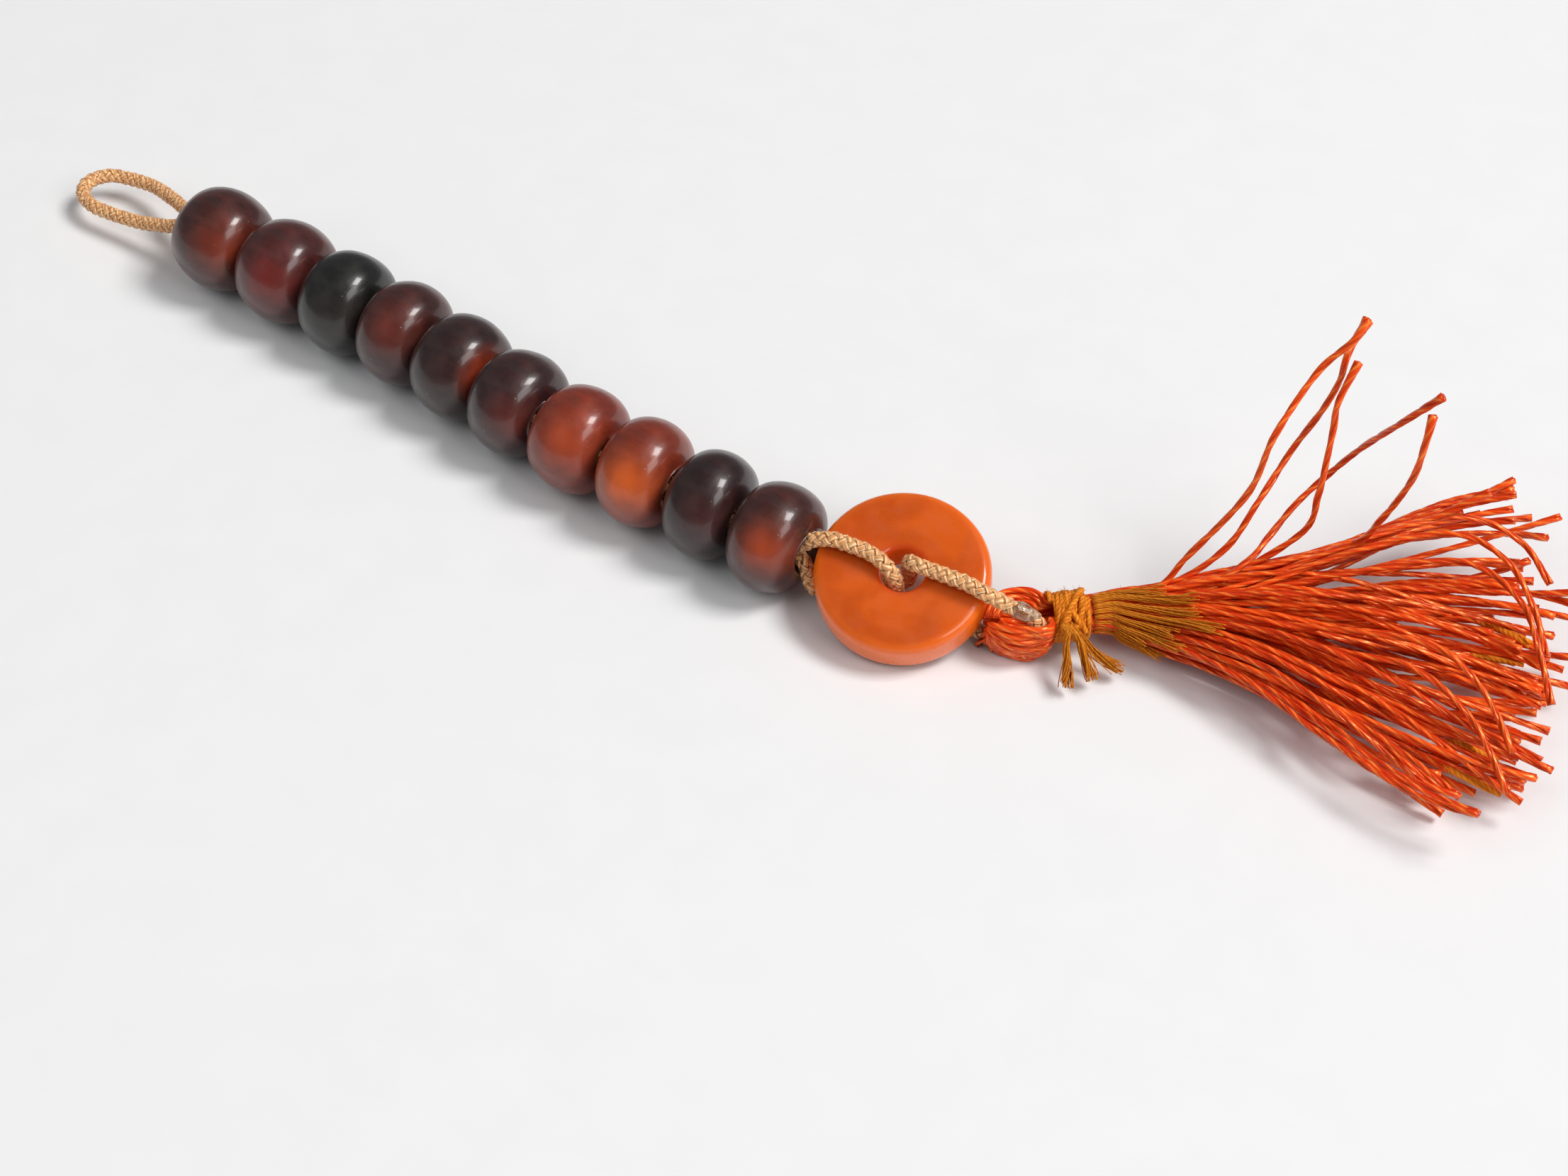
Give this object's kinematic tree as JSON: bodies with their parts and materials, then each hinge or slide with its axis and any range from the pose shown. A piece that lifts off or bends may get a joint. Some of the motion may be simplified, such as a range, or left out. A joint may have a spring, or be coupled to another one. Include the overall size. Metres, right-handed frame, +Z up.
{
  "type": "beaded tassel charm",
  "caption": "String of drilled beads and a flat ring on a doubled braided cord, with a hanging loop at one end and a bound thread tassel at the other.",
  "frame": {"origin": "inner side of the hanging loop's tip, at the height of the cord's middle, as the charm lies on a table", "axes": "+X along the bead row from the loop to the tassel, +Z up"},
  "size_m": [0.1084, 0.0331, 0.0202],
  "materials": {
    "horn_brown": "satin polished translucent horn, dark brown",
    "horn_black": "satin polished horn, nearly black",
    "horn_red": "satin polished translucent horn, red-orange",
    "horn_orange": "satin polished translucent horn, orange",
    "resin_orange": "satin translucent resin",
    "melted_nylon": "glossy melted cord",
    "cord_braid": "braided cord",
    "thread_orange": "two-ply satin thread",
    "thread_yellow": "matte thread"
  },
  "bodies": {
    "hang_loop": {"hang_loop": "cord_braid"},
    "string_01": {"string_01": "cord_braid"},
    "bead_01": {"bead_01": "horn_brown"},
    "string_02": {"string_02": "cord_braid"},
    "bead_02": {"bead_02": "horn_brown"},
    "string_03": {"string_03": "cord_braid"},
    "bead_03": {"bead_03": "horn_black"},
    "string_04": {"string_04": "cord_braid"},
    "bead_04": {"bead_04": "horn_brown"},
    "string_05": {"string_05": "cord_braid"},
    "bead_05": {"bead_05": "horn_brown"},
    "string_06": {"string_06": "cord_braid"},
    "bead_06": {"bead_06": "horn_brown"},
    "string_07": {"string_07": "cord_braid"},
    "bead_07": {"bead_07": "horn_red"},
    "string_08": {"string_08": "cord_braid"},
    "bead_08": {"bead_08": "horn_orange"},
    "string_09": {"string_09": "cord_braid"},
    "bead_09": {"bead_09": "horn_brown"},
    "string_10": {"string_10": "cord_braid"},
    "bead_10": {"bead_10": "horn_brown"},
    "disc": {"disc": "resin_orange"},
    "cord_end": {"cord_bight": "cord_braid", "cord_seal": "melted_nylon"},
    "tassel_head": {"tassel_eye": "thread_orange", "binding": "thread_yellow", "binding_end_1": "thread_yellow", "binding_end_2": "thread_yellow", "binding_end_3": "thread_yellow"},
    "tassel_skirt": {"tassel_skirt": "thread_orange", "binding_tails": "thread_yellow", "stray_thread_1": "thread_orange", "stray_thread_2": "thread_orange", "stray_thread_3": "thread_orange", "stray_thread_4": "thread_orange", "stray_thread_5": "thread_orange", "stray_thread_6": "thread_orange"}
  },
  "joints": [
    {"name": "bend_01", "type": "hinge", "parent": "hang_loop", "child": "string_01", "pos_m": [0.01055, -0.0001, 0.00175], "axis": [-0.0085, 1, 0], "range_deg": [-8, 8]},
    {"name": "bend_02", "type": "hinge", "parent": "string_01", "child": "string_02", "pos_m": [0.01645, 0, 0.00175], "axis": [0, 0, 1], "range_deg": [-8, 8]},
    {"name": "bend_03", "type": "hinge", "parent": "string_02", "child": "string_03", "pos_m": [0.02225, 0.0001, 0.00175], "axis": [-0.0181, 0.9998, 0], "range_deg": [-8, 8]},
    {"name": "bend_04", "type": "hinge", "parent": "string_03", "child": "string_04", "pos_m": [0.02755, 0.0002, 0.00175], "axis": [0, 0, 1], "range_deg": [-8, 8]},
    {"name": "bend_05", "type": "hinge", "parent": "string_04", "child": "string_05", "pos_m": [0.03265, 0.0001, 0.00175], "axis": [0.0568, 0.9984, 0], "range_deg": [-8, 8]},
    {"name": "bend_06", "type": "hinge", "parent": "string_05", "child": "string_06", "pos_m": [0.03795, -0.0004, 0.00175], "axis": [0, 0, 1], "range_deg": [-8, 8]},
    {"name": "bend_07", "type": "hinge", "parent": "string_06", "child": "string_07", "pos_m": [0.04315, -0.0008, 0.00175], "axis": [0.0384, 0.9993, 0], "range_deg": [-8, 8]},
    {"name": "bend_08", "type": "hinge", "parent": "string_07", "child": "string_08", "pos_m": [0.04855, -0.0008, 0.00175], "axis": [0, 0, 1], "range_deg": [-8, 8]},
    {"name": "bend_09", "type": "hinge", "parent": "string_08", "child": "string_09", "pos_m": [0.05375, -0.0006, 0.00175], "axis": [-0.0396, 0.9992, 0], "range_deg": [-8, 8]},
    {"name": "bend_10", "type": "hinge", "parent": "string_09", "child": "string_10", "pos_m": [0.05865, -0.0004, 0.00175], "axis": [0, 0, 1], "range_deg": [-8, 8]},
    {"name": "spin_01", "type": "hinge", "parent": "string_01", "child": "bead_01", "pos_m": [0.0135, -0.00005, 0.00175], "axis": [0.9999, 0.0169, 0], "continuous": true},
    {"name": "spin_02", "type": "hinge", "parent": "string_02", "child": "bead_02", "pos_m": [0.01935, 0.00005, 0.00175], "axis": [0.9999, 0.0172, 0], "continuous": true},
    {"name": "spin_03", "type": "hinge", "parent": "string_03", "child": "bead_03", "pos_m": [0.0249, 0.00015, 0.00175], "axis": [0.9998, 0.0189, 0], "continuous": true},
    {"name": "spin_04", "type": "hinge", "parent": "string_04", "child": "bead_04", "pos_m": [0.0301, 0.00015, 0.00175], "axis": [0.9998, -0.0196, 0], "continuous": true},
    {"name": "spin_05", "type": "hinge", "parent": "string_05", "child": "bead_05", "pos_m": [0.0353, -0.00015, 0.00175], "axis": [0.9956, -0.0939, 0], "continuous": true},
    {"name": "spin_06", "type": "hinge", "parent": "string_06", "child": "bead_06", "pos_m": [0.04055, -0.0006, 0.00175], "axis": [0.9971, -0.0767, 0], "continuous": true},
    {"name": "spin_07", "type": "hinge", "parent": "string_07", "child": "bead_07", "pos_m": [0.04585, -0.0008, 0.00175], "axis": [1, 0, 0], "continuous": true},
    {"name": "spin_08", "type": "hinge", "parent": "string_08", "child": "bead_08", "pos_m": [0.05115, -0.0007, 0.00175], "axis": [0.9993, 0.0384, 0], "continuous": true},
    {"name": "spin_09", "type": "hinge", "parent": "string_09", "child": "bead_09", "pos_m": [0.0562, -0.0005, 0.00175], "axis": [0.9992, 0.0408, 0], "continuous": true},
    {"name": "spin_10", "type": "hinge", "parent": "string_10", "child": "bead_10", "pos_m": [0.0612, -0.00035, 0.00175], "axis": [0.9998, 0.0196, 0], "continuous": true},
    {"name": "disc_spin", "type": "hinge", "parent": "string_10", "child": "disc", "pos_m": [0.06925, 0.00175, 0.0014], "axis": [0.1324, -0.309, 0.9418], "continuous": true},
    {"name": "cord_turn", "type": "hinge", "parent": "string_10", "child": "cord_end", "pos_m": [0.06925, 0.00175, 0.0014], "axis": [0.1324, -0.309, 0.9418], "range_deg": [-25, 25]},
    {"name": "tassel_swing", "type": "hinge", "parent": "cord_end", "child": "tassel_head", "pos_m": [0.0779, 0.00375, 0.00035], "axis": [-0.7071, 0.7071, 0], "range_deg": [-10, 10]},
    {"name": "skirt_yaw", "type": "hinge", "parent": "tassel_head", "child": "tassel_skirt", "pos_m": [0.08036, 0.00781, 0.00035], "axis": [0, 0, 1], "range_deg": [-15, 15]}
  ]
}
